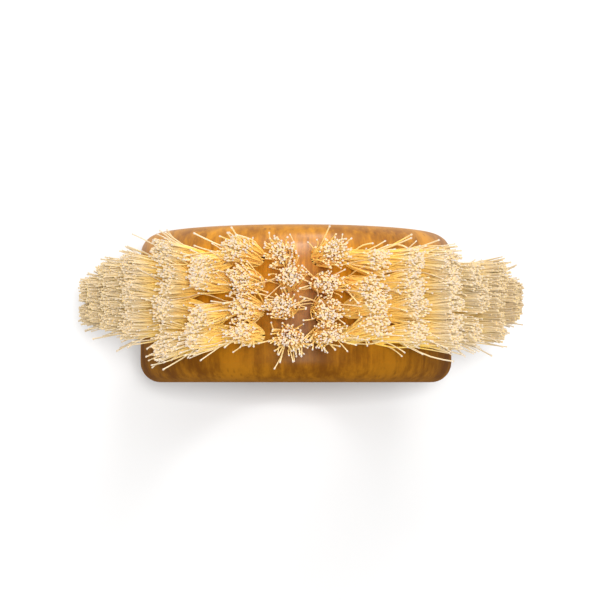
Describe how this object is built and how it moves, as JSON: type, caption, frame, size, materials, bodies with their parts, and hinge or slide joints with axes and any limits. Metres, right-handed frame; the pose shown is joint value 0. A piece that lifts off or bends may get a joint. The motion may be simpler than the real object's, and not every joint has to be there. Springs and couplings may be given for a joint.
{
  "type": "vegetable brush",
  "caption": "Palm-held cleaning brush: a turned bamboo ring that slips over the fingers, with stiff fibre tufts standing radially round its outer half.",
  "frame": {"origin": "middle of the flat on the palm side, which the brush rests on", "axes": "+Z away from the palm through the middle of the tuft field, Y along the ring's axis and the finger hole, X across the ring"},
  "size_m": [0.1131, 0.038, 0.0948],
  "materials": {
    "bamboo": "lacquered, golden brown with fine grain along the ring's axis",
    "fibre": "stiff plant fibre, straw coloured with pale cut tips",
    "anchor_wire": "plain drawn wire"
  },
  "bodies": {
    "root": {"ring_body": "bamboo", "bristle_column_01": "fibre", "bristle_column_02": "fibre", "bristle_column_03": "fibre", "bristle_column_04": "fibre", "bristle_column_05": "fibre", "bristle_column_06": "fibre", "bristle_column_07": "fibre", "bristle_column_08": "fibre", "bristle_column_09": "fibre", "bristle_column_10": "fibre", "bristle_column_11": "fibre", "bristle_column_12": "fibre", "bristle_column_13": "fibre", "bristle_column_14": "fibre", "bristle_column_15": "fibre", "bristle_column_16": "fibre", "anchor_wire_01": "anchor_wire", "anchor_wire_02": "anchor_wire", "anchor_wire_03": "anchor_wire", "anchor_wire_04": "anchor_wire", "anchor_wire_05": "anchor_wire", "anchor_wire_06": "anchor_wire", "anchor_wire_07": "anchor_wire", "anchor_wire_08": "anchor_wire", "anchor_wire_09": "anchor_wire", "anchor_wire_10": "anchor_wire", "anchor_wire_11": "anchor_wire", "anchor_wire_12": "anchor_wire", "anchor_wire_13": "anchor_wire", "anchor_wire_14": "anchor_wire", "anchor_wire_15": "anchor_wire", "anchor_wire_16": "anchor_wire"}
  },
  "joints": []
}
